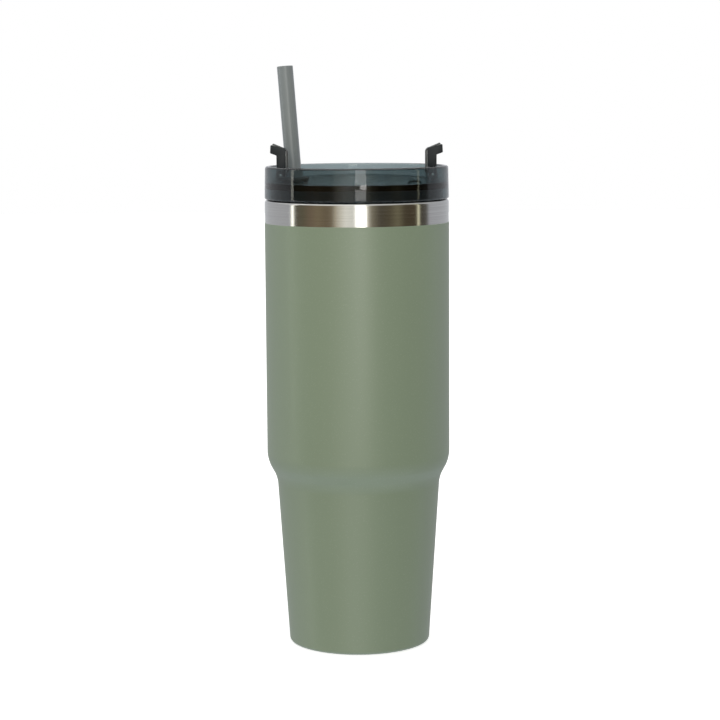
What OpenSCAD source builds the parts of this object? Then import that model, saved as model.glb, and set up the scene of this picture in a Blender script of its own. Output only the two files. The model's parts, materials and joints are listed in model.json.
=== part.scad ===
// Insulated tumbler: a double-wall steel cup with a press-in drinking lid,
// two flip stoppers on the lid and a removable straw.
// Frame: origin at the centre of the foot, +Z up. The front is -Y and the flip
// stoppers stand on the X axis, the sip stopper at +X and the vent stopper at -X.

/* [Cup] */
// Outside diameter of the steel mouth
mouth_d = 91.8; // [90:0.1:94]
// Height of the cup from its foot to the top of the lip
cup_h = 224.4; // [215:0.5:240]
// Diameter where the tapered foot meets the table, before its corner is rounded
foot_d = 70.7; // [68:0.1:72]
// Height of the lower end of the shoulder
shoulder_low_h = 84.4; // [80:0.2:90]
// Height of the upper end of the shoulder
shoulder_top_h = 93.6; // [91:0.2:98]
// Diameter at the lower end of the shoulder
waist_d = 81.8; // [79:0.1:83]
// Height of the bare steel band under the lip
band_h = 11.5; // [6:0.1:16]
// Thickness of each steel wall
steel = 0.5; // [0.4:0.1:0.8]
// Width of the vacuum space between the walls
vacuum = 3.3; // [2.7:0.1:3.5]
// Thickness of the powder coat
coat = 0.15; // [0.1:0.05:0.2]

/* [Lid] */
// Diameter of the lid ring at its foot
ring_d = 92; // [90:0.1:92.4]
// Height of the lid ring above the lip of the cup
ring_h = 16.5; // [16:0.1:18]
// Depth of the dish in the top of the lid
dish_depth = 8.9; // [8.6:0.1:9.2]
// Depth that the plug of the lid reaches into the mouth
plug_depth = 15.5; // [14:0.5:18]
// Width of each flip stopper
lever_w = 12; // [11:0.2:13]

/* [Straw] */
// Outside diameter of the straw
straw_d = 8; // [7.6:0.1:8.2]
// Wall of the straw
straw_wall = 0.8; // [0.6:0.1:1]
// Height of the upper end of the straw above the table
straw_top_h = 290.5; // [270:0.5:300]

/* [Hidden] */
$fn = 128;

// Cup
lip_r = 1.7;                        // radius of the rolled lip
seam_r = mouth_d / 2 - lip_r;       // where shell and liner are welded together
foot_hole_r = 28.5;                 // inner edge of the foot ring
foot_corner_r = 1.8;
foot_lip_h = 1.5;                   // inner edge of the foot, turned up
mouth_r = mouth_d / 2 - 2 * lip_r;  // inside of the mouth
neck_h = cup_h - 19.5;              // top of the step under the straight neck
floor_h = 8;                        // inside floor of the cup
wet_inset = 2 * steel + vacuum;     // from the outer face to the wet face
coat_top_h = cup_h - band_h;

// Foot
base_r = foot_hole_r + steel;       // disc that closes the outer shell
base_top_h = foot_lip_h + steel;
cover_h = 0.5;                      // height of the thin cover's lower face
cover_t = 0.5;
dimple_r = 5;
dimple_h = 1.6;
vent_hole_r = 1;                    // hole that the vacuum is drawn through

// Lid
ring_r = ring_d / 2;
ring_foot_h = cup_h + 0.1;
ring_top_h = cup_h + ring_h;
ring_wall = 2.7;
ring_draft = 0.35;                  // how far the ring leans in at its top
dish_h = ring_top_h - dish_depth;   // upper face of the dish floor
dish_floor = 2.2;                   // thickness of that floor
skirt_r = mouth_r - 1.0;            // outside of the plug
plug_in_r = skirt_r - 0.1;          // inside of the plug at its top, clear of the grommet
skirt_in_r = skirt_r - 1.6;         // inside of the plug at the lip of the cup
skirt_low_in_r = skirt_r - 2.9;     // and at its foot
groove_low_h = ring_foot_h - 12;
groove_top_h = ring_foot_h - 5;
groove_depth = 1.4;
dish_r = ring_r - ring_wall;
plug_gap = 0.05;                    // glue line between ring and plug

// Flip stoppers, drawn upright for the one on the +X side
pin_at = [37.5, dish_h + 3.6];      // hinge line in X and Z
pin_r = 0.8;
pin_play = 0.07;
barrel_r = 2.2;
pad_t = 0.8;
lug_t = 2;
lug_r = 2.4;
lug_gap = 0.3;
pin_len = lever_w + 2 * lug_gap + 2 * lug_t;
lip_h = 0.35;                       // raised rim that a closed pad lies on
lip_w = 0.9;
hole_at = 29;                       // distance of each opening from the axis
sip_slot_l = 9;
sip_slot_w = 5;
vent_d = 3.6;
// Inner edge of a stopper's side view, from the barrel up and out to the tip
convex_edge = [
    [pin_at.x - 3.2, pin_at.y + 0.6, 0],
    [pin_at.x - 3.2, pin_at.y + 13.4, 2.2],
    [pin_at.x + 4.0, pin_at.y + 16.4, 0]
];

// Straw, from its foot on the cup's floor to the middle of its hole in the lid
straw_foot = [-14.9, 7.4, floor_h + 1.6];
straw_hole = [-31.45, 15, dish_h];
straw_run = straw_hole - straw_foot;
straw_lean = atan2(norm([straw_run.x, straw_run.y]), straw_run.z);
straw_turn = atan2(straw_run.y, straw_run.x);
straw_len = (straw_top_h - straw_foot.z) / cos(straw_lean);
grommet_r = 5.5;
grommet_lip_r = 6.8;
grommet_slack = 0.08;               // gap between straw and grommet

// ---- Paths. A path is a list of [r, z, corner radius]; its right side is the outside. ----
function flat(p) = [p.x, p.y];
function along(a, b) = (flat(b) - flat(a)) / norm(flat(b) - flat(a));
function right_of(a, b) = let (u = along(a, b)) [u.y, -u.x];
function turn_left(a, b, c) =
    let (u = along(a, b), v = along(b, c)) u.x * v.y - u.y * v.x > 0 ? 1 : -1;

// The path moved d to its right
function shift_path(path, d) = [for (i = [0 : len(path) - 1])
    let (
        last = len(path) - 1,
        n1 = right_of(path[max(i - 1, 0)], path[max(i, 1)]),
        n2 = right_of(path[min(i, last - 1)], path[min(i + 1, last)]),
        p = flat(path[i]) + d * (n1 + n2) / (1 + n1 * n2),
        side = i == 0 || i == last ? 0 : turn_left(path[i - 1], path[i], path[i + 1])
    )
    [p.x, p.y, path[i].z == 0 ? 0 : max(path[i].z + side * d, 0.05)]];

// The points of one rounded corner
function corner(a, b, c, r, steps = 8) =
    let (
        u = along(a, b), v = along(b, c),
        half = acos(u * v) / 2,
        side = turn_left(a, b, c),
        reach = r * tan(half),
        start = flat(b) - reach * u,
        hub = start + side * r * [-u.y, u.x],
        from = atan2(start.y - hub.y, start.x - hub.x)
    )
    [for (k = [0 : steps]) hub + r * [cos(from + side * 2 * half * k / steps),
                                      sin(from + side * 2 * half * k / steps)]];

function round_path(path) = [for (i = [0 : len(path) - 1])
    each (i == 0 || i == len(path) - 1 || path[i].z == 0)
        ? [flat(path[i])]
        : corner(path[i - 1], path[i], path[i + 1], path[i].z)];

function reverse(list) = [for (i = [len(list) - 1 : -1 : 0]) list[i]];

// A sheet of thickness t, turned about Z; t is to the path's right when positive
module turned_sheet(path, t) {
    rotate_extrude()
        polygon(concat(round_path(path), reverse(round_path(shift_path(path, t)))));
}

module ring(r_in, r_out, low, top) {
    rotate_extrude() translate([r_in, low]) square([r_out - r_in, top - low]);
}

// ---- Cup ----
shell_path = [
    [foot_hole_r, foot_lip_h, 0],
    [foot_hole_r, 0, 0.9],
    [foot_d / 2, 0, foot_corner_r],
    [waist_d / 2, shoulder_low_h, 15],
    [mouth_d / 2, shoulder_top_h, 15],
    [mouth_d / 2, cup_h, lip_r],
    [seam_r, cup_h, 0]
];
wet_waist = shift_path(shell_path, -wet_inset);
liner_path = [
    [0, floor_h, 0],
    [foot_d / 2 + (waist_d - foot_d) / 2 * floor_h / shoulder_low_h - wet_inset, floor_h, 4],
    wet_waist[3],
    wet_waist[4],
    [mouth_d / 2 - wet_inset, neck_h - 3, 2],
    [mouth_r, neck_h, 2],
    [mouth_r, cup_h, lip_r],
    [seam_r, cup_h, 0]
];

module outer_shell() {
    color("silver") turned_sheet(shell_path, -steel);
}

module powder_coat() {
    color("darkseagreen") intersection() {
        turned_sheet(shell_path, coat);
        ring(foot_d / 2 - foot_corner_r, mouth_d, 0.3, coat_top_h);
    }
}

module inner_liner() {
    color("silver") turned_sheet(liner_path, steel);
}

// Disc with a raised dimple round the hole that the vacuum was drawn through
module outer_base() {
    color("silver") rotate_extrude() polygon([
        [vent_hole_r, foot_lip_h + dimple_h],
        [dimple_r - 1, foot_lip_h + dimple_h],
        [dimple_r, foot_lip_h],
        [base_r, foot_lip_h],
        [base_r, base_top_h],
        [dimple_r, base_top_h],
        [dimple_r - 1, base_top_h + dimple_h],
        [vent_hole_r, base_top_h + dimple_h]
    ]);
}

// Thin disc pressed into the foot, under the dimple
module base_cover() {
    color("silver") translate([0, 0, cover_h]) cylinder(r = foot_hole_r, h = cover_t);
}

// Glass solder that plugs the vacuum hole
module vacuum_seal() {
    color("dimgray") rotate_extrude() polygon([
        [0, foot_lip_h + dimple_h - 0.5],
        [2.2, foot_lip_h + dimple_h - 0.3],
        [2.4, foot_lip_h + dimple_h],
        [vent_hole_r, foot_lip_h + dimple_h],
        [vent_hole_r, base_top_h + dimple_h],
        [0, base_top_h + dimple_h]
    ]);
}

// Copper foil wrapped round the straight part of the liner
module radiation_foil() {
    liner_out_r = mouth_d / 2 - wet_inset + steel;
    color("peru") ring(liner_out_r, liner_out_r + 0.15, shoulder_top_h + 14, neck_h - 8);
}

getter_at = [14, 0, floor_h - steel];
module getter_pellet() {
    color("gray") translate(getter_at - [0, 0, 2.2]) cylinder(r = 4, h = 1.8);
}

// Strap with two feet that holds the pellet under the liner's floor
module getter_clip() {
    color("silver") translate(getter_at) {
        translate([-3, -7.5, -2.6]) cube([6, 15, 0.4]);
        for (side = [-1, 1])
            translate([-3, side * 7.3 - 0.2, -2.6]) cube([6, 0.4, 2.6]);
    }
}

// ---- Lid ----
// Ring and dish floor in one see-through moulding
module lid_turning() {
    rotate_extrude() polygon(concat(
        [[0, dish_h - dish_floor], [dish_r, dish_h - dish_floor]],
        round_path([
            [dish_r, ring_foot_h, 0],
            [ring_r, ring_foot_h, 1.2],
            [ring_r - ring_draft, ring_top_h, 1.2],
            [dish_r - ring_draft, ring_top_h, 1.2],
            [dish_r, dish_h, 1.2],
            [0, dish_h, 0]
        ])
    ));
}

// Black ring glued up into the lid, with the groove for the seal
module lid_plug() {
    color("black") rotate_extrude() polygon(concat(
        round_path([
            [plug_in_r, dish_h - dish_floor, 0],
            [plug_in_r, ring_foot_h + 3, 0],
            [skirt_in_r, ring_foot_h + 1.5, 0],
            [skirt_in_r, ring_foot_h - 2, 0],
            [skirt_low_in_r, ring_foot_h - 4, 0],
            [skirt_low_in_r, ring_foot_h - plug_depth, 0.8],
            [skirt_r, ring_foot_h - plug_depth, 0.8],
            [skirt_r, groove_low_h, 0]
        ]),
        [[skirt_r - groove_depth, groove_low_h], [skirt_r - groove_depth, groove_top_h]],
        [[skirt_r, groove_top_h], [skirt_r, ring_foot_h], [dish_r - plug_gap, ring_foot_h]],
        [[dish_r - plug_gap, dish_h - dish_floor]]
    ));
}

// The two lugs that carry a hinge pin, for the stopper on the +X side
module hinge_lugs() {
    for (side = [-1, 1])
        translate([0, side * (pin_len - lug_t) / 2 + lug_t / 2, 0])
            rotate([90, 0, 0]) linear_extrude(lug_t) {
                translate([pin_at.x - lug_r, dish_h - 1]) square([2 * lug_r, pin_at.y - dish_h + 1]);
                translate(pin_at) circle(r = lug_r, $fn = 48);
            }
}

module pin_bore(r, length) {
    translate([pin_at.x, length / 2, pin_at.y])
        rotate([90, 0, 0]) cylinder(r = r, h = length, $fn = 48);
}

// A slot with round ends, lying along Y
module slot_shape(length, width) {
    for (side = [-1, 1])
        translate([hole_at, side * (length - width) / 2]) circle(d = width, $fn = 48);
    translate([hole_at - width / 2, -(length - width) / 2]) square([width, length - width]);
}

module lid_shell() {
    color("darkslategray", 0.6) difference() {
        union() {
            lid_turning();
            for (side = [0, 1]) mirror([side, 0, 0]) hinge_lugs();
            translate([0, 0, dish_h - 1]) linear_extrude(1 + lip_h)
                slot_shape(sip_slot_l + 2 * lip_w, sip_slot_w + 2 * lip_w);
            translate([-hole_at, 0, dish_h - 1]) cylinder(d = vent_d + 2 * lip_w, h = 1 + lip_h, $fn = 48);
        }
        for (side = [0, 1]) mirror([side, 0, 0]) pin_bore(pin_r, pin_len + 2);
        translate([0, 0, dish_h - dish_floor - 1]) linear_extrude(dish_floor + 3)
            slot_shape(sip_slot_l, sip_slot_w);
        translate([-hole_at, 0, dish_h - dish_floor - 1])
            cylinder(d = vent_d, h = dish_floor + 3, $fn = 48);
        translate([straw_hole.x, straw_hole.y, dish_h - dish_floor - 1])
            cylinder(r = grommet_r, h = dish_floor + 2);
    }
}

// Silicone ring with two lips that rub on the liner
module lid_gasket() {
    groove_r = skirt_r - groove_depth;
    lip = mouth_r - 0.3;
    color("dimgray") rotate_extrude() polygon([
        [groove_r, groove_low_h + 0.1],
        [skirt_r + 0.2, groove_low_h + 0.1],
        [lip, groove_low_h + 1.6],
        [lip, groove_low_h + 2.1],
        [skirt_r + 0.1, groove_low_h + 2.9],
        [skirt_r + 0.1, groove_low_h + 3.6],
        [lip, groove_low_h + 5.1],
        [lip, groove_low_h + 5.6],
        [skirt_r + 0.2, groove_top_h - 0.1],
        [groove_r, groove_top_h - 0.1]
    ]);
}

// Flanged sleeve in the dish floor; its bore leans with the straw
module straw_grommet() {
    color("dimgray") difference() {
        translate([straw_hole.x, straw_hole.y, dish_h]) rotate_extrude() polygon([
            [0, 1.2],
            [grommet_lip_r - 0.5, 1.2],
            [grommet_lip_r, 0.7],
            [grommet_lip_r, 0],
            [grommet_r, 0],
            [grommet_r, -dish_floor],
            [grommet_r + 0.8, -dish_floor],
            [grommet_r + 0.2, -dish_floor - 1.2],
            [0, -dish_floor - 1.2]
        ]);
        translate(straw_hole) rotate([0, straw_lean, straw_turn])
            rotate([0, 0, 90]) translate([0, 0, -15])
                cylinder(r = straw_d / 2 + grommet_slack, h = 30, $fn = 64);
    }
}

// ---- Flip stoppers, drawn upright for the +X side ----
// Bent lever with a hinge barrel at its foot
module lever() {
    difference() {
        union() {
            translate([0, lever_w / 2, 0]) rotate([90, 0, 0]) linear_extrude(lever_w)
                polygon(concat(
                    round_path(shift_path(convex_edge, pad_t)),
                    round_path([
                        [pin_at.x + 4.2, pin_at.y + 15.4, 0],
                        [pin_at.x + 5.1, pin_at.y + 15.8, 0.3],
                        [pin_at.x + 5.3, pin_at.y + 11.8, 0.5],
                        [pin_at.x + 2.2, pin_at.y + 10.7, 0.4],
                        [pin_at.x + 2.2, pin_at.y, 0]
                    ]),
                    [[pin_at.x, pin_at.y - 0.4]]
                ));
            pin_bore(barrel_r, lever_w);
        }
        pin_bore(pin_r + pin_play, lever_w + 2);
    }
}

// Silicone sheet over the face that turns down onto the lid
module pad() {
    translate([0, lever_w / 2 - 0.2, 0]) rotate([90, 0, 0]) linear_extrude(lever_w - 0.4)
        polygon(concat(
            round_path(convex_edge),
            reverse(round_path(shift_path(convex_edge, pad_t)))
        ));
}

module sip_lever() {
    color("black") lever();
}

module sip_pad() {
    color("dimgray") pad();
}

module sip_hinge_pin() {
    color("silver") pin_bore(pin_r, pin_len);
}

module vent_lever() {
    color("black") mirror([1, 0, 0]) lever();
}

module vent_pad() {
    color("dimgray") mirror([1, 0, 0]) pad();
}

module vent_hinge_pin() {
    color("silver") mirror([1, 0, 0]) pin_bore(pin_r, pin_len);
}

// ---- Straw ----
module straw() {
    color("gray") translate(straw_foot) rotate([0, straw_lean, straw_turn])
        difference() {
            cylinder(d = straw_d, h = straw_len, $fn = 64);
            translate([0, 0, -1])
                cylinder(d = straw_d - 2 * straw_wall, h = straw_len + 2, $fn = 64);
        }
}

outer_shell();
powder_coat();
inner_liner();
outer_base();
base_cover();
vacuum_seal();
radiation_foil();
getter_pellet();
getter_clip();
lid_shell();
lid_plug();
lid_gasket();
straw_grommet();
sip_hinge_pin();
vent_hinge_pin();
sip_lever();
sip_pad();
vent_lever();
vent_pad();
straw();
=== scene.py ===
import json
import math

import bmesh
import bpy
from mathutils import Matrix, Vector


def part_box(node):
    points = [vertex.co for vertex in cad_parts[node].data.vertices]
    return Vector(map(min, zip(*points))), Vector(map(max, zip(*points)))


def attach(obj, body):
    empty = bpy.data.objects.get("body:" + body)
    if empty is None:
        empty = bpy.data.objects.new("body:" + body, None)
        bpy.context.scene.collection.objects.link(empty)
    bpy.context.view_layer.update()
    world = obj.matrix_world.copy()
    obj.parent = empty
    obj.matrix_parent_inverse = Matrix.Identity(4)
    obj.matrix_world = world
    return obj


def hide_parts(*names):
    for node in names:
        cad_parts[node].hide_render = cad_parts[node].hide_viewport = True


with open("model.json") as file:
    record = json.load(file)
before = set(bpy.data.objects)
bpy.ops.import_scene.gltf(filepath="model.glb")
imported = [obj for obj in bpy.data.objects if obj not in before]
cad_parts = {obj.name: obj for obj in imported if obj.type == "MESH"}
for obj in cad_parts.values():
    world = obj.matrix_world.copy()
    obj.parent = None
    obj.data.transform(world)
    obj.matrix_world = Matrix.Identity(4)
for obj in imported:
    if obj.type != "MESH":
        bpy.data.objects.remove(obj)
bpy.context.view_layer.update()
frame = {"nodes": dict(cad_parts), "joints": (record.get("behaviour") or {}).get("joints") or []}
mm = 0.001


# ---- Outer wall ----
# One stainless steel shell, spun and rolled in at the lip and the foot. It is
# coated green up to a band under the lip, which is left bare and brushed round
# the cup on a lathe.

def rounded(shape, corners, reach, facets):
    """Rounds corners of a flat outline. Each curve starts that far along both sides."""
    bmesh.ops.bevel(
        shape, geom=corners, affect="VERTICES", offset_type="OFFSET", offset=reach,
        segments=facets, profile=0.5, material=-1,
    )


def spun(shape, geom, steps):
    """Spins points and edges once round the Z axis and closes the seam."""
    bmesh.ops.spin(
        shape, geom=geom, cent=(0, 0, 0), axis=(0, 0, 1), angle=math.tau,
        steps=steps, use_merge=True, use_duplicate=False,
    )
    bmesh.ops.remove_doubles(shape, verts=shape.verts[:], dist=1e-7)


def finished(name, shape, sharp=35):
    """Turns the shape into a smooth-shaded object whose edges past the sharp angle stay crisp."""
    bmesh.ops.recalc_face_normals(shape, faces=shape.faces[:])
    mesh = bpy.data.meshes.new(name)
    shape.to_mesh(mesh)
    shape.free()
    mesh.shade_smooth()
    mesh.set_sharp_from_angle(angle=math.radians(sharp))
    piece = bpy.data.objects.new(name, mesh)
    bpy.context.collection.objects.link(piece)
    return piece


def turned(name, outline, rounding, steps=256):
    """A closed outline of (radius, height) points in metres, its corners rounded, spun about the
    cup's axis. rounding is {corner number: (how far along each side the curve starts, facets)}."""
    shape = bmesh.new()
    corners = [shape.verts.new((r, 0, z)) for r, z in outline]
    shape.faces.new(corners)
    for reach, facets in sorted(set(rounding.values())):
        alike = [corners[i] for i in rounding if rounding[i] == (reach, facets)]
        rounded(shape, alike, reach, facets)
    bmesh.ops.delete(shape, geom=shape.faces[:], context="FACES_ONLY")
    spun(shape, shape.verts[:] + shape.edges[:], steps)
    return finished(name, shape)


def new_finish(name):
    """A material with only a Principled shader in it. Returns the material, its tree, shader and output."""
    finish = bpy.data.materials.new(name)
    finish.use_nodes = True
    tree = finish.node_tree
    return finish, tree, tree.nodes["Principled BSDF"], tree.nodes["Material Output"]


def put(tree, kind, inputs=None, **attributes):
    """Adds one node, sets its attributes and its inputs, and links any input given as a socket."""
    node = tree.nodes.new(kind)
    for key, value in attributes.items():
        setattr(node, key, value)
    for key, value in (inputs or {}).items():
        if isinstance(value, bpy.types.NodeSocket):
            tree.links.new(value, node.inputs[key])
        else:
            node.inputs[key].default_value = value
    return node


def on_piece(tree):
    """The place on the piece, in metres, which every texture is laid out by."""
    return put(tree, "ShaderNodeTexCoord").outputs["Object"]


def noise(tree, where, scale, detail, roughness=0.5):
    """A cloudy mask."""
    inputs = {"Vector": where, "Scale": scale, "Detail": detail, "Roughness": roughness}
    return put(tree, "ShaderNodeTexNoise", inputs=inputs).outputs["Fac"]


def spread(tree, mask, low, high):
    """A mask stretched to run from low to high."""
    return put(tree, "ShaderNodeMapRange", inputs={"Value": mask, "To Min": low, "To Max": high}).outputs[0]


def relief(tree, mask, strength, depth):
    """Surface normals for a mask seen as heights, depth metres deep."""
    inputs = {"Height": mask, "Strength": strength, "Distance": depth}
    return put(tree, "ShaderNodeBump", inputs=inputs).outputs[0]


def two_tones(tree, mask, dark, light, start=0.0, end=1.0):
    """Runs a mask between two colours, the dark one up to start and the light one from end."""
    ramp = put(tree, "ShaderNodeValToRGB", inputs={"Fac": mask})
    for stop, position, colour in zip(ramp.color_ramp.elements, (start, end), (dark, light)):
        stop.position = position
        stop.color = (*colour, 1)
    return ramp.outputs["Color"]


surface_grain = bpy.data.node_groups.new("surface_grain", "ShaderNodeTree")
for socket in ("Size", "Strength", "Depth"):
    surface_grain.interface.new_socket(socket, in_out="INPUT", socket_type="NodeSocketFloat")
surface_grain.interface.new_socket("Mask", in_out="OUTPUT", socket_type="NodeSocketFloat")
surface_grain.interface.new_socket("Normal", in_out="OUTPUT", socket_type="NodeSocketVector")
given = put(surface_grain, "NodeGroupInput").outputs
grain = noise(surface_grain, on_piece(surface_grain), given["Size"], 2.0)
grain_normal = relief(surface_grain, grain, given["Strength"], given["Depth"])
put(surface_grain, "NodeGroupOutput", inputs={"Mask": grain, "Normal": grain_normal})

mouth_r, _, lip_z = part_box("outer_shell")[1]
steel_t = 0.5 * mm
lip_round = 1.7 * mm
seam_r = mouth_r - lip_round
foot_hole_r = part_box("base_cover")[1].x
foot_r = 35.35 * mm
waist = (40.9 * mm, 84.4 * mm)
shoulder = (mouth_r, 93.6 * mm)
foot_lip_h = 1.5 * mm
bend_in = 0.1 * mm

steel_wall = turned(
    "steel_wall",
    [
        (foot_hole_r, foot_lip_h),
        (foot_hole_r, 0),
        (foot_r, 0),
        waist,
        shoulder,
        (mouth_r, lip_z),
        (seam_r, lip_z),
        (seam_r, lip_z - steel_t),
        (mouth_r - steel_t, lip_z - steel_t),
        (mouth_r - steel_t, shoulder[1] - bend_in),
        (waist[0] - steel_t, waist[1] + bend_in),
        (foot_r - steel_t, steel_t),
        (foot_hole_r + steel_t, steel_t),
        (foot_hole_r + steel_t, foot_lip_h),
    ],
    {
        1: (0.85 * mm, 6), 2: (1.68 * mm, 10), 3: (3.3 * mm, 12), 4: (3.8 * mm, 14), 5: (1.65 * mm, 10),
        8: (1.15 * mm, 8), 9: (3.7 * mm, 14), 10: (3.4 * mm, 12), 11: (1.2 * mm, 10), 12: (0.2 * mm, 4),
    },
)
brushed_steel, tree, shader, _ = new_finish("brushed_steel")
brushing = put(tree, "ShaderNodeMapping", inputs={"Vector": on_piece(tree), "Scale": (18, 18, 5200)})
lines = noise(tree, brushing.outputs[0], 1.0, 5.0, 0.62)
steel_shade = two_tones(tree, lines, (0.5, 0.495, 0.485), (0.62, 0.615, 0.6), 0.3, 0.7)
round_the_cup = put(tree, "ShaderNodeTangent", direction_type="RADIAL", axis="Z")
tree.links.new(steel_shade, shader.inputs["Base Color"])
tree.links.new(spread(tree, lines, 0.15, 0.22), shader.inputs["Roughness"])
tree.links.new(relief(tree, lines, 0.12, 2e-5), shader.inputs["Normal"])
tree.links.new(round_the_cup.outputs[0], shader.inputs["Tangent"])
shader.inputs["Metallic"].default_value = 1.0
shader.inputs["Anisotropic"].default_value = 0.85
shader.inputs["Anisotropic Rotation"].default_value = 0.25
steel_wall.data.materials.append(brushed_steel)
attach(steel_wall, "cup")
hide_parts("outer_shell")


# ---- Powder coat ----
# Sage green polyester powder, sprayed and baked on the steel. It stops in a
# clean, slightly thick edge under the bare band, and shows the fine pebbled
# skin and the pale specks that such coats have.

def mixed(tree, factor, first, second):
    """A mix of two colours, each given as a colour or as a socket."""
    inputs = {"Factor": factor, 6: first, 7: second}
    return put(tree, "ShaderNodeMix", data_type="RGBA", inputs=inputs).outputs[2]


def faded(tree, value, start, end):
    """A mask that runs from 0 where the value is start to 1 where it is end."""
    inputs = {"Value": value, "From Min": start, "From Max": end}
    return put(tree, "ShaderNodeMapRange", inputs=inputs).outputs[0]


coat_low, coat_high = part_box("powder_coat")
coat_t = 0.15 * mm
tuck = 0.02 * mm
foot_bend = 1.8 * mm
coat_bend = foot_bend + coat_t
sprayed_foot = [
    (foot_r - 1.68 * mm + coat_bend * math.cos(fall), foot_bend - coat_bend * math.sin(fall))
    for fall in map(math.radians, (50, 44, 38, 32, 26, 20, 14, 8, 2))
]
coat_wall = turned(
    "green_coat",
    [
        (waist[0] + coat_t, waist[1]),
        (shoulder[0] + coat_t, shoulder[1]),
        (coat_high.x, coat_high.z),
        (mouth_r - tuck, coat_high.z),
        (mouth_r - tuck, shoulder[1]),
        (waist[0] - tuck, waist[1]),
        (foot_r + tuck, foot_bend),
        (foot_r - 0.75 * mm, coat_low.z + tuck),
        *sprayed_foot,
    ],
    {0: (3.3 * mm, 12), 1: (3.8 * mm, 14), 2: (0.1 * mm, 4), 4: (3.8 * mm, 14), 5: (3.3 * mm, 12)},
)
sage_powder, tree, shader, _ = new_finish("sage_powder_coat")
place = on_piece(tree)
pebbles = noise(tree, place, 2100.0, 3.0, 0.55)
ripple = noise(tree, place, 520.0, 2.0)
clouds = noise(tree, place, 14.0, 3.0)
specks = put(tree, "ShaderNodeTexVoronoi", inputs={"Vector": place, "Scale": 900.0})
speck_mask = faded(tree, specks.outputs["Distance"], 0.28, 0.05)
green = mixed(tree, clouds, (0.25, 0.317, 0.226, 1), (0.258, 0.328, 0.234, 1))
flecked = mixed(tree, speck_mask, green, (0.295, 0.36, 0.27, 1))
pebble_bump = put(tree, "ShaderNodeBump", inputs={
    "Height": pebbles, "Strength": 0.35, "Distance": 4e-5, "Normal": relief(tree, ripple, 0.25, 6e-5),
})
tree.links.new(flecked, shader.inputs["Base Color"])
tree.links.new(spread(tree, pebbles, 0.34, 0.46), shader.inputs["Roughness"])
tree.links.new(pebble_bump.outputs[0], shader.inputs["Normal"])
shader.inputs["Specular IOR Level"].default_value = 0.75
coat_wall.data.materials.append(sage_powder)
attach(coat_wall, "cup")
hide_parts("powder_coat")


# ---- Inner wall ----
# The steel cup that holds the drink, drawn in one piece and welded to the outer
# wall inside the rolled lip. Its neck is a little wider, to seat the lid's plug,
# and it is electropolished.

neck_r = mouth_r - 2 * lip_round
neck_z = lip_z - 19.5 * mm
inside = 4.3 * mm
floor_z = 8 * mm
cup_liner = turned(
    "cup_liner",
    [
        (0, floor_z),
        (foot_r + 0.4 * mm - inside, floor_z),
        (waist[0] - inside, waist[1] + 1.2 * mm),
        (shoulder[0] - inside, shoulder[1] + 1.1 * mm),
        (mouth_r - inside, neck_z - 3 * mm),
        (neck_r, neck_z),
        (neck_r, lip_z),
        (seam_r, lip_z),
        (seam_r, lip_z - steel_t),
        (neck_r + steel_t, lip_z - steel_t),
        (neck_r + steel_t, neck_z - 0.2 * mm),
        (mouth_r - inside + steel_t, neck_z - 3.2 * mm),
        (shoulder[0] - inside + steel_t, shoulder[1] + 1 * mm),
        (waist[0] - inside + steel_t, waist[1] + 1.1 * mm),
        (foot_r + 0.4 * mm - inside + steel_t, floor_z - steel_t),
        (0, floor_z - steel_t),
    ],
    {
        1: (3.7 * mm, 10), 2: (4.2 * mm, 12), 3: (2.7 * mm, 12), 4: (0.8 * mm, 6), 5: (0.8 * mm, 6),
        6: (1.6 * mm, 10), 9: (1.1 * mm, 8), 10: (0.8 * mm, 6), 11: (0.8 * mm, 6), 12: (2.8 * mm, 12),
        13: (4.1 * mm, 12), 14: (4.0 * mm, 10),
    },
)
polished_steel, tree, shader, _ = new_finish("polished_steel")
drawing = put(tree, "ShaderNodeMapping", inputs={"Vector": on_piece(tree), "Scale": (30, 30, 900)})
draw_lines = noise(tree, drawing.outputs[0], 1.0, 3.0)
tree.links.new(spread(tree, draw_lines, 0.16, 0.26), shader.inputs["Roughness"])
tree.links.new(relief(tree, draw_lines, 0.05, 2e-5), shader.inputs["Normal"])
shader.inputs["Base Color"].default_value = (0.62, 0.61, 0.59, 1)
shader.inputs["Metallic"].default_value = 1.0
cup_liner.data.materials.append(polished_steel)
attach(cup_liner, "cup")
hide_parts("inner_liner")


# ---- Foot ----
# A thin steel disc is pressed into the turned-in foot and hides the seal of the
# vacuum. It is polished, with a step pressed round its edge.

cover_low, cover_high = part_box("base_cover")
foot_cover = turned(
    "foot_cover",
    [
        (0, cover_low.z),
        (cover_high.x - 3.2 * mm, cover_low.z),
        (cover_high.x - 2.8 * mm, cover_low.z + 0.15 * mm),
        (cover_high.x, cover_low.z + 0.15 * mm),
        (cover_high.x, cover_high.z),
        (0, cover_high.z),
    ],
    {1: (0.15 * mm, 4), 2: (0.15 * mm, 4)},
    steps=128,
)
foot_cover.data.materials.append(polished_steel)
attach(foot_cover, "cup")
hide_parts("base_cover")


# ---- Inside the vacuum ----
# The disc that closes the outer wall, the glass solder in its hole, the copper
# foil round the liner, and the getter pellet in its strap. None of them shows
# on a whole cup, and each is carried over from the frame.

def carried(node, finish):
    """Gives a node of the frame its finish."""
    piece = frame["nodes"][node]
    piece.data.materials.clear()
    piece.data.materials.append(finish)
    return piece


copper_foil, tree, shader, _ = new_finish("copper_foil")
creases = put(tree, "ShaderNodeTexVoronoi", inputs={"Vector": on_piece(tree), "Scale": 90.0})
tree.links.new(relief(tree, creases.outputs["Distance"], 0.3, 2e-4), shader.inputs["Normal"])
shader.inputs["Base Color"].default_value = (0.75, 0.4, 0.26, 1)
shader.inputs["Metallic"].default_value = 1.0
shader.inputs["Roughness"].default_value = 0.22
carried("radiation_foil", copper_foil)

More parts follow.
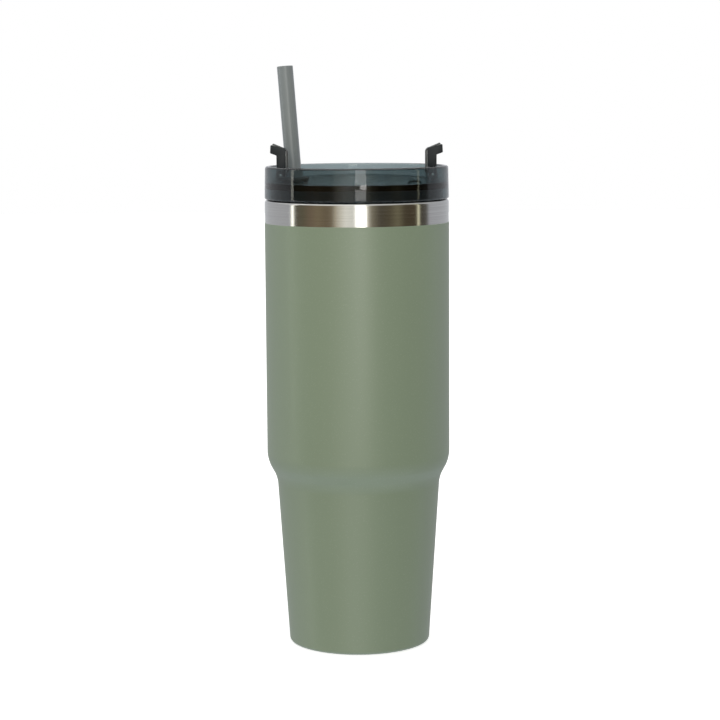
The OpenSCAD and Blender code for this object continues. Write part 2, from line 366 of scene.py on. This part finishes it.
fused_grains, tree, shader, _ = new_finish("fused_grains")
grains = noise(tree, on_piece(tree), 1800.0, 2.0)
grain_shade = two_tones(tree, grains, (0.05, 0.05, 0.055), (0.16, 0.155, 0.15))
tree.links.new(grain_shade, shader.inputs["Base Color"])
shader.inputs["Roughness"].default_value = 0.55
carried("vacuum_seal", fused_grains)
carried("getter_pellet", fused_grains)
carried("outer_base", polished_steel)
carried("getter_clip", polished_steel)


# ---- Lid ----
# One injection moulding in smoke-grey see-through plastic: a ring that stands on
# the lip, a dished floor with the sip slot, the vent and the straw's hole, and
# two pairs of hinge lugs.

lid_low, lid_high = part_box("lid_shell")
grommet_low, grommet_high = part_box("straw_grommet")
ring_r = lid_high.x
ring_foot = lid_low.z
ring_top = lid_high.z
dish_z = ring_top - 8.9 * mm
dish_under = dish_z - 2.2 * mm
dish_r = ring_r - 2.7 * mm
lean = 0.35 * mm
lid = turned(
    "smoke_lid",
    [
        (0, dish_under),
        (dish_r, dish_under),
        (dish_r, ring_foot),
        (ring_r, ring_foot),
        (ring_r - lean, ring_top),
        (dish_r - lean, ring_top),
        (dish_r, dish_z),
        (0, dish_z),
    ],
    {3: (1.15 * mm, 8), 4: (1.15 * mm, 8), 5: (1.15 * mm, 8), 6: (1.2 * mm, 8)},
)

pin_low, pin_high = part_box("sip_hinge_pin")
pin_x = (pin_low.x + pin_high.x) / 2
pin_z = (pin_low.z + pin_high.z) / 2
pin_reach = pin_high.y
lug_t = 2 * mm
lug_r = 2.4 * mm
hole_x = 29 * mm
sunk = 1 * mm  # how far lugs and rims reach into the floor, and cuts past it
full_round = 0.995  # of half the width, so that a corner pair makes a round end
straw_hole = Vector((
    (grommet_low.x + grommet_high.x) / 2, (grommet_low.y + grommet_high.y) / 2, dish_z,
))


def drawn_out(shape, way):
    """Makes a solid of the shape's one flat face, drawn out along a vector."""
    grown = bmesh.ops.extrude_face_region(shape, geom=shape.faces[:])
    far_end = [v for v in grown["geom"] if isinstance(v, bmesh.types.BMVert)]
    bmesh.ops.translate(shape, verts=far_end, vec=way)


def slug(name, outline, low, high, at, facets=16):
    """A prism with a rounded outline: outline is [(x, y, corner reach)], from height low to high."""
    shape = bmesh.new()
    corners = [shape.verts.new((at[0] + x, at[1] + y, low)) for x, y, _ in outline]
    shape.faces.new(corners)
    for corner, (_, _, reach) in zip(corners, outline):
        rounded(shape, [corner], reach, facets)
    drawn_out(shape, (0, 0, high - low))
    return finished(name, shape)


def round_bar(name, radius, start, end, facets=48):
    """A plain round bar between two points."""
    shape = bmesh.new()
    run = Vector(end) - Vector(start)
    bmesh.ops.create_cone(
        shape, cap_ends=True, segments=facets, radius1=radius, radius2=radius, depth=run.length,
    )
    turn = run.to_track_quat("Z", "Y").to_matrix().to_4x4()
    bmesh.ops.transform(
        shape, matrix=Matrix.Translation((Vector(start) + Vector(end)) / 2) @ turn, verts=shape.verts[:],
    )
    return finished(name, shape)


def lug(name, side, y_low, y_high):
    """One hinge lug, round at the top, standing on the dish floor. side is 1 for sip and -1 for vent."""
    shape = bmesh.new()
    foot, top = dish_z - sunk, pin_z + lug_r
    outline = [(-lug_r, foot), (lug_r, foot), (lug_r, top), (-lug_r, top)]
    corners = [shape.verts.new((side * (pin_x + x), y_low, z)) for x, z in outline]
    shape.faces.new(corners)
    rounded(shape, corners[2:], lug_r * full_round, 16)
    drawn_out(shape, (0, y_high - y_low, 0))
    return finished(name, shape)


def joined(piece, others, how):
    """Fuses the other solids to the piece, or cuts them out of it, and removes them."""
    for other in others:
        step = piece.modifiers.new("fit", "BOOLEAN")
        step.operation = how
        step.solver = "EXACT"
        step.object = other
        made = bpy.data.meshes.new_from_object(piece.evaluated_get(bpy.context.evaluated_depsgraph_get()))
        piece.modifiers.clear()
        piece.data = made
        bpy.data.objects.remove(other)
    piece.data.shade_smooth()
    piece.data.set_sharp_from_angle(angle=math.radians(35))
    return piece


def oblong(name, width, length, low, high):
    """An upright bar with two round ends, at the sip slot."""
    corners = ((-1, -1), (1, -1), (1, 1), (-1, 1))
    outline = [(x * width / 2, y * length / 2, width / 2 * full_round) for x, y in corners]
    return slug(name, outline, low, high, (hole_x, 0))


sip_w, sip_l = 5 * mm, 9 * mm
lip_w, lip_h = 0.9 * mm, 0.35 * mm
vent_r = 1.8 * mm
straw_hole_r = 5.5 * mm
additions = [
    lug("lug", side, y_low, y_low + lug_t)
    for side in (1, -1) for y_low in (-pin_reach, pin_reach - lug_t)
]
additions.append(oblong("sip_rim", sip_w + 2 * lip_w, sip_l + 2 * lip_w, dish_z - sunk, dish_z + lip_h))
additions.append(
    round_bar("vent_rim", vent_r + lip_w, (-hole_x, 0, dish_z - sunk), (-hole_x, 0, dish_z + lip_h))
)
joined(lid, additions, "UNION")
cut_low, cut_high = dish_under - sunk, dish_z + sunk
cuts = [
    oblong("sip_cut", sip_w, sip_l, cut_low, cut_high),
    round_bar("vent_cut", vent_r, (-hole_x, 0, cut_low), (-hole_x, 0, cut_high)),
    round_bar("straw_cut", straw_hole_r, (*straw_hole.xy, cut_low), (*straw_hole.xy, cut_high), 96),
]
joined(lid, cuts, "DIFFERENCE")

smoke_plastic, tree, shader, ends = new_finish("smoke_plastic")
handling = noise(tree, on_piece(tree), 90.0, 3.0)
smoke = put(tree, "ShaderNodeVolumeAbsorption", inputs={"Color": (0.07, 0.216, 0.25, 1), "Density": 500.0})
tree.links.new(spread(tree, handling, 0.01, 0.035), shader.inputs["Roughness"])
tree.links.new(smoke.outputs[0], ends.inputs["Volume"])
shader.inputs["Base Color"].default_value = (1, 1, 1, 1)
shader.inputs["Transmission Weight"].default_value = 1.0
shader.inputs["IOR"].default_value = 1.5
lid.data.materials.clear()
lid.data.materials.append(smoke_plastic)
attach(lid, "lid")
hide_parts("lid_shell")


# ---- Plug ----
# A hollow black ring, glued up inside the lid's ring and under its floor. Its
# lower part fills the cup's neck and has the groove for the seal.

plug_low, plug_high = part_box("lid_plug")
plug_r = neck_r - 1 * mm
plug_top_in = plug_r - 0.1 * mm
plug_in = plug_r - 1.6 * mm
plug_low_in = plug_r - 2.9 * mm
groove_r = plug_r - 1.4 * mm
groove_low = ring_foot - 12 * mm
groove_top = ring_foot - 5 * mm
plug_top = plug_high.z - tuck
plug = turned(
    "black_plug",
    [
        (plug_top_in, plug_top),
        (plug_top_in, ring_foot + 3 * mm),
        (plug_in, ring_foot + 1.5 * mm),
        (plug_in, ring_foot - 2 * mm),
        (plug_low_in, ring_foot - 4 * mm),
        (plug_low_in, plug_low.z),
        (plug_r, plug_low.z),
        (plug_r, groove_low),
        (groove_r, groove_low),
        (groove_r, groove_top),
        (plug_r, groove_top),
        (plug_r, ring_foot),
        (plug_high.x, ring_foot),
        (plug_high.x, plug_top),
    ],
    {5: (0.8 * mm, 6), 6: (0.8 * mm, 6)},
)
satin_black, tree, shader, _ = new_finish("satin_black_plastic")
black_grain = put(tree, "ShaderNodeGroup", node_tree=surface_grain, inputs={
    "Size": 2600.0, "Strength": 0.4, "Depth": 5e-5,
})
black_shade = two_tones(tree, black_grain.outputs["Mask"], (0.01, 0.015, 0.02), (0.018, 0.024, 0.031))
tree.links.new(black_shade, shader.inputs["Base Color"])
tree.links.new(black_grain.outputs["Normal"], shader.inputs["Normal"])
shader.inputs["Roughness"].default_value = 0.4
shader.inputs["Specular IOR Level"].default_value = 0.3
plug.data.materials.append(satin_black)
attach(plug, "lid")
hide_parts("lid_plug")


# ---- Seal ----
# A dark grey silicone ring with two soft lips, stretched into the plug's groove.
# The lips wipe the neck of the cup and hold the lid in.

seal_low, seal_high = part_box("lid_gasket")
lip_r = seal_high.x
seal = turned(
    "lid_seal",
    [
        (groove_r, seal_low.z),
        (plug_r + 0.2 * mm, seal_low.z),
        (lip_r, seal_low.z + 1.5 * mm),
        (lip_r, seal_low.z + 2.0 * mm),
        (plug_r + 0.1 * mm, seal_low.z + 2.8 * mm),
        (plug_r + 0.1 * mm, seal_low.z + 3.5 * mm),
        (lip_r, seal_low.z + 5.0 * mm),
        (lip_r, seal_low.z + 5.5 * mm),
        (plug_r + 0.2 * mm, seal_high.z),
        (groove_r, seal_high.z),
    ],
    {
        1: (0.15 * mm, 3), 2: (0.22 * mm, 4), 3: (0.22 * mm, 4),
        6: (0.22 * mm, 4), 7: (0.22 * mm, 4), 8: (0.15 * mm, 3),
    },
    steps=192,
)
dark_silicone, tree, shader, _ = new_finish("dark_silicone")
bloom = put(tree, "ShaderNodeGroup", node_tree=surface_grain, inputs={
    "Size": 900.0, "Strength": 0.1, "Depth": 5e-5,
})
bloom_shade = two_tones(tree, bloom.outputs["Mask"], (0.06, 0.063, 0.065), (0.085, 0.088, 0.09))
tree.links.new(bloom_shade, shader.inputs["Base Color"])
tree.links.new(bloom.outputs["Normal"], shader.inputs["Normal"])
shader.inputs["Roughness"].default_value = 0.55
seal.data.materials.append(dark_silicone)
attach(seal, "lid_seal")
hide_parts("lid_gasket")


# ---- Straw's sleeve ----
# A flanged silicone sleeve pushed into the dish floor. Its bore leans with the
# straw and holds it at that angle.

straw_joint = next(j for j in frame["joints"] if j["name"] == "straw_pull")
straw_way = Vector(straw_joint["axis"]).normalized()
straw_r = 4 * mm
sleeve_bore = straw_r + 0.08 * mm
sleeve_out = grommet_high.x - straw_hole.x
shape = bmesh.new()
outline = [
    (sleeve_bore, 1.2), (sleeve_out - 0.5 * mm, 1.2), (sleeve_out, 0.7), (sleeve_out, 0),
    (straw_hole_r, 0), (straw_hole_r, -2.2), (6.3 * mm, -2.2), (5.7 * mm, -3.4), (sleeve_bore, -3.4),
]
corners = [shape.verts.new((r, 0, z * mm)) for r, z in outline]
rim = [shape.edges.new((a, b)) for a, b in zip(corners, corners[1:] + corners[:1])]
spun(shape, corners + rim, 96)
for vert in shape.verts:
    if math.hypot(vert.co.x, vert.co.y) < sleeve_bore * 1.001:
        vert.co.x += vert.co.z * straw_way.x / straw_way.z
        vert.co.y += vert.co.z * straw_way.y / straw_way.z
bmesh.ops.translate(shape, verts=shape.verts[:], vec=straw_hole)
sleeve = finished("straw_sleeve", shape)
sleeve.data.materials.append(dark_silicone)
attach(sleeve, "lid")
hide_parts("straw_grommet")


# ---- Hinge pins ----
# Two short stainless pins, pressed through the lugs and loose in the levers,
# with their ends broken by a small chamfer.

for name, node in (("sip_pin", "sip_hinge_pin"), ("vent_pin", "vent_hinge_pin")):
    low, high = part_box(node)
    middle = (low + high) / 2
    radius = (high.z - low.z) / 2
    pin = round_bar(name, radius, (middle.x, low.y, middle.z), (middle.x, high.y, middle.z), 40)
    shape = bmesh.new()
    shape.from_mesh(pin.data)
    rims = [e for e in shape.edges if all(abs(abs(v.co.y) - high.y) < 1e-6 for v in e.verts)]
    bmesh.ops.bevel(
        shape, geom=rims, affect="EDGES", offset=0.15 * mm, segments=2, profile=0.5, material=-1,
    )
    shape.to_mesh(pin.data)
    shape.free()
    pin.data.shade_smooth()
    pin.data.set_sharp_from_angle(angle=math.radians(35))
    pin.data.materials.append(polished_steel)
    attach(pin, "lid")
    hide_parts(node)


# ---- Flip stoppers ----
# Each is a bent lever moulded in black plastic with a satin texture, on a barrel
# that turns on the pin. A thin silicone sheet covers the face that is turned
# down and seals the opening in the dish. A pale strip between the sheet and the
# lever is a painted highlight: it stands for the bright line along their edge.

lever_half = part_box("sip_lever")[1].y


def stopper_piece(name, outline, rounding, half_width, side, edge_round):
    """A side view in mm from the pin, its corners rounded, drawn out along Y and softened at both sides."""
    shape = bmesh.new()
    corners = [
        shape.verts.new((side * (pin_x + x * mm), -half_width, pin_z + z * mm)) for x, z in outline
    ]
    shape.faces.new(corners)
    for i, (reach, facets) in rounding.items():
        rounded(shape, [corners[i]], reach * mm, facets)
    drawn_out(shape, (0, 2 * half_width, 0))
    bmesh.ops.recalc_face_normals(shape, faces=shape.faces[:])
    rims = [e for e in shape.edges if abs(e.verts[0].co.y - e.verts[1].co.y) < 1e-7]
    bmesh.ops.bevel(
        shape, geom=rims, affect="EDGES", offset=edge_round * mm, segments=3, profile=0.5, material=-1,
        clamp_overlap=True,
    )
    return finished(name, shape)


pin_bore = 0.87 * mm
barrel_r = 2.2 * mm
# Pale grey here is a painted highlight, the bright line along the lever's edge beside the sheet.
painted_edge_highlight, tree, shader, _ = new_finish("painted_edge_highlight")
shader.inputs["Base Color"].default_value = (0.36, 0.38, 0.39, 1)
shader.inputs["Roughness"].default_value = 0.3
for side, kind in ((1, "sip"), (-1, "vent")):
    lever = stopper_piece(
        f"{kind}_lever_bent",
        [
            (-2.4, 0.6), (-2.4, 13.95), (4.3, 15.7), (4.25, 15.35), (5.1, 15.75), (5.3, 11.8), (2.2, 10.7),
            (2.2, 0), (0, -0.4),
        ],
        {1: (0.7, 6), 4: (0.25, 4), 5: (0.4, 5), 6: (0.3, 4)},
        lever_half, side, 0.3,
    )
    x = side * pin_x
    barrel = round_bar("barrel", barrel_r, (x, -lever_half, pin_z), (x, lever_half, pin_z))
    bore = round_bar("bore", pin_bore, (x, -2 * lever_half, pin_z), (x, 2 * lever_half, pin_z))
    joined(lever, [barrel], "UNION")
    joined(lever, [bore], "DIFFERENCE")
    lever.data.materials.clear()
    lever.data.materials.append(satin_black)
    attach(lever, f"{kind}_stopper")
    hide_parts(f"{kind}_lever")

    sheet = stopper_piece(
        f"{kind}_seal_sheet",
        [(-3.2, 0.6), (-3.2, 13.4), (4.0, 16.4), (4.17, 15.98), (-2.75, 13.1), (-2.75, 0.6)],
        {1: (1.25, 8), 4: (1.0, 6)},
        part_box(f"{kind}_pad")[1].y, side, 0.12,
    )
    sheet.data.materials.append(dark_silicone)
    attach(sheet, f"{kind}_stopper")
    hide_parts(f"{kind}_pad")

    # A thin pale strip between sheet and lever, painted as the edge highlight there; it is painted light,
    # not a real part.
    highlight_strip = stopper_piece(
        f"{kind}_painted_highlight_line",
        [(-2.75, 0.6), (-2.75, 13.1), (4.17, 15.98), (4.3, 15.66), (-2.4, 12.87), (-2.4, 0.6)],
        {1: (1.0, 6), 4: (0.8, 6)},
        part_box(f"{kind}_pad")[1].y, side, 0.04,
    )
    highlight_strip.data.materials.append(painted_edge_highlight)
    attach(highlight_strip, f"{kind}_stopper")
    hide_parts(f"{kind}_pad")


# ---- Straw ----
# An extruded tube in frosted grey plastic, cut square and flame-rounded at both
# ends. Its foot is just above the cup's floor, and it leans out through the sleeve.

straw_t = 0.8 * mm
foot_z = 9.6 * mm
tip_z = 290.5 * mm
straw_foot = straw_hole - straw_way * ((dish_z - foot_z) / straw_way.z)
straw_len = (tip_z - foot_z) / straw_way.z
shape = bmesh.new()
outline = (
    (straw_r - straw_t, 0), (straw_r, 0), (straw_r, straw_len), (straw_r - straw_t, straw_len),
)
corners = [shape.verts.new((r, 0, z)) for r, z in outline]
shape.faces.new(corners)
rounded(shape, corners, 0.34 * mm, 5)
bmesh.ops.delete(shape, geom=shape.faces[:], context="FACES_ONLY")
spun(shape, shape.verts[:] + shape.edges[:], 72)
upright = straw_way.to_track_quat("Z", "Y").to_matrix().to_4x4()
bmesh.ops.transform(shape, matrix=Matrix.Translation(straw_foot) @ upright, verts=shape.verts[:])
straw = finished("drinking_straw", shape)
frosted_grey, tree, shader, _ = new_finish("frosted_grey_plastic")
haze = noise(tree, on_piece(tree), 60.0, 2.0)
haze_shade = two_tones(tree, haze, (0.26, 0.29, 0.306), (0.285, 0.319, 0.336))
frost = put(tree, "ShaderNodeGroup", node_tree=surface_grain, inputs={
    "Size": 1500.0, "Strength": 0.15, "Depth": 4e-5,
})
tree.links.new(haze_shade, shader.inputs["Base Color"])
tree.links.new(frost.outputs["Normal"], shader.inputs["Normal"])
shader.inputs["Roughness"].default_value = 0.28
straw.data.materials.append(frosted_grey)
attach(straw, "straw")
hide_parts("straw")


# ---- Studio ----
# A white table and backdrop, a tall soft window of light beside the camera, two
# slim bright strips at the sides, and a darker room in front, which the steel
# and the lid mirror. The window is three panels, the short middle one brighter.

def mirrored_room():
    """The world: white to the camera, grey through the lid, and a dim room in front for all else."""
    world = bpy.data.worlds.new("studio")
    bpy.context.scene.world = world
    world.use_nodes = True
    tree = world.node_tree
    tree.nodes.clear()
    way = put(tree, "ShaderNodeTexCoord")
    parts = put(tree, "ShaderNodeSeparateXYZ", inputs={"Vector": way.outputs["Generated"]}).outputs
    front = put(tree, "ShaderNodeMath", operation="MULTIPLY", inputs={0: parts["Y"], 1: -1.0})
    around = put(tree, "ShaderNodeMath", operation="ARCTAN2", inputs={0: parts["X"], 1: front.outputs[0]})
    turn = faded(tree, around.outputs[0], -math.pi, math.pi)
    room = put(tree, "ShaderNodeValToRGB", inputs={"Fac": turn})
    stops = [
        (-180, (0.6, 0.62, 0.65)), (-104, (0.55, 0.56, 0.58)), (-90, (0.52, 0.53, 0.55)),
        (-89, (2.8, 2.8, 2.5)), (-86, (2.8, 2.8, 2.5)), (-84.8, (0.11, 0.1, 0.07)),
        (-70, (0.15, 0.13, 0.08)), (-60, (0.21, 0.155, 0.1)), (-50, (0.25, 0.195, 0.115)),
        (-38, (0.19, 0.145, 0.086)), (-31, (0.24, 0.19, 0.12)), (-26, (0.62, 0.56, 0.42)),
        (-14, (1.1, 1.08, 0.97)), (-5, (0.95, 0.95, 0.87)), (13, (0.7, 0.66, 0.52)),
        (18, (0.26, 0.23, 0.16)), (29, (0.09, 0.075, 0.05)), (41, (0.11, 0.09, 0.052)),
        (52, (0.21, 0.185, 0.11)), (62, (0.09, 0.07, 0.04)), (81, (0.07, 0.05, 0.028)),
        (82, (1.6, 1.55, 1.1)), (83.6, (1.6, 1.55, 1.1)), (84.6, (0.05, 0.042, 0.03)),
        (97, (0.14, 0.13, 0.11)), (102, (0.52, 0.53, 0.56)), (180, (0.6, 0.62, 0.65)),
    ]
    ramp = room.color_ramp
    while len(ramp.elements) < len(stops):
        ramp.elements.new(0.5)
    for stop, (degrees, colour) in zip(ramp.elements, stops):
        stop.position = degrees / 360 + 0.5
        stop.color = (*colour, 1)
    across = faded(tree, parts["X"], -1, 1)
    up = faded(tree, parts["Z"], 0.35, 0.9)
    down = faded(tree, parts["Z"], -0.35, -0.8)
    seen = put(tree, "ShaderNodeLightPath").outputs
    ceiling = mixed(tree, across, (1.65, 1.66, 1.64, 1), (0.95, 0.95, 0.93, 1))
    overhead = mixed(tree, up, room.outputs["Color"], ceiling)
    underneath = mixed(tree, down, overhead, (0.88, 0.95, 1.05, 1))
    through = mixed(tree, seen["Is Transmission Ray"], underneath, (0.86, 0.87, 0.87, 1))
    shown = mixed(tree, seen["Is Camera Ray"], through, (1, 1, 1, 1))
    glow = put(tree, "ShaderNodeBackground", inputs={"Color": shown, "Strength": 1.0})
    put(tree, "ShaderNodeOutputWorld", inputs={"Surface": glow.outputs[0]})


mirrored_room()

table_top = bmesh.new()
bmesh.ops.create_grid(table_top, x_segments=1, y_segments=1, size=4.0)
table_top = finished("table_top", table_top)
white_table, tree, shader, _ = new_finish("white_table")
shader.inputs["Base Color"].default_value = (0.86, 0.86, 0.86, 1)
shader.inputs["Roughness"].default_value = 0.9
shader.inputs["Emission Color"].default_value = (1, 1, 1, 1)
shader.inputs["Emission Strength"].default_value = 0.5
table_top.data.materials.append(white_table)
table_top.visible_glossy = False
table_top.visible_diffuse = False
table_top.visible_transmission = False


def light_panel(name, bearing, distance, low, high, width, radiance, colour=(1, 1, 1)):
    """A soft upright panel facing the cup. bearing is in degrees from the front, towards +X."""
    lamp = bpy.data.lights.new(name, "AREA")
    lamp.shape = "RECTANGLE"
    lamp.size = width
    lamp.size_y = high - low
    lamp.energy = radiance * math.pi * width * (high - low)
    lamp.color = colour
    holder = bpy.data.objects.new(name, lamp)
    bpy.context.collection.objects.link(holder)
    turn = math.radians(bearing)
    holder.location = (distance * math.sin(turn), -distance * math.cos(turn), (low + high) / 2)
    holder.rotation_euler = (math.pi / 2, 0, turn)
    holder.visible_camera = False


daylight = (1.0, 0.985, 0.96)
window_away = 1.1
light_panel("window_below", 4.8, window_away, 0.02, 0.205, 0.25, 2.6, daylight)
light_panel("window_middle", 8.0, window_away, 0.205, 0.238, 0.14, 7.0, daylight)
light_panel("window_above", 4.8, window_away, 0.238, 1.3, 0.25, 2.6, daylight)

picture = 720
camera = bpy.data.cameras.new("camera")
camera.sensor_width = 36
camera.lens = 2079 / picture * camera.sensor_width
camera.shift_x = 2.15 / picture
camera.clip_start = 0.05
camera.clip_end = 50
eye = bpy.data.objects.new("camera", camera)
bpy.context.collection.objects.link(eye)
eye.matrix_world = (
    Matrix.Translation((0, -1.040, 0.2741))
    @ Matrix.Rotation(math.radians(90 - 7.17), 4, "X")
    @ Matrix.Rotation(math.radians(-0.38), 4, "Z")
)
bpy.context.scene.camera = eye
bpy.context.scene.view_settings.view_transform = "Standard"
